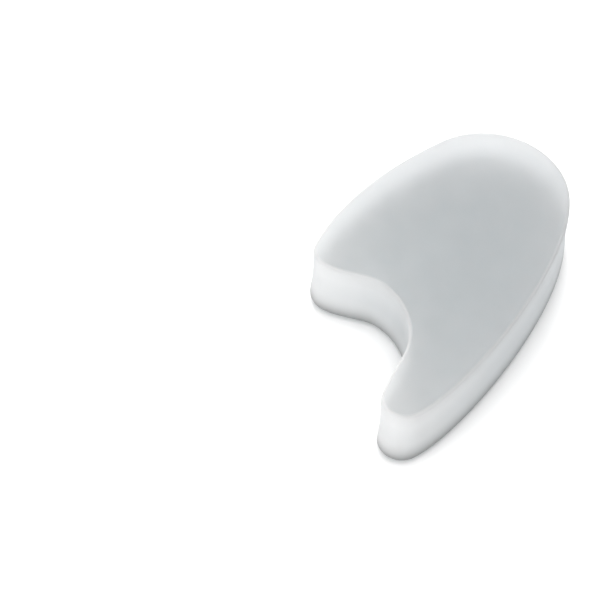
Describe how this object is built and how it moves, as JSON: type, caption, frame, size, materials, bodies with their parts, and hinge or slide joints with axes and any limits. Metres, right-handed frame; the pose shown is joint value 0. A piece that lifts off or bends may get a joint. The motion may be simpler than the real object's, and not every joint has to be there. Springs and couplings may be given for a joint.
{
  "type": "toe separator",
  "caption": "Soft gel toe separator: a flat slab with a round lobe, a short horn, a long horn and a wide notch between the horns that fits the web of skin between two toes.",
  "frame": {"origin": "middle of the body's box, on its lower flat face", "axes": "+Z through the thickness, up from the lower face; +Y from the horns to the round end; +X towards the long horn"},
  "size_m": [0.0362, 0.0304, 0.0085],
  "materials": {
    "gel": "translucent, satin"
  },
  "bodies": {
    "root": {"gel_body": "gel"}
  },
  "joints": []
}
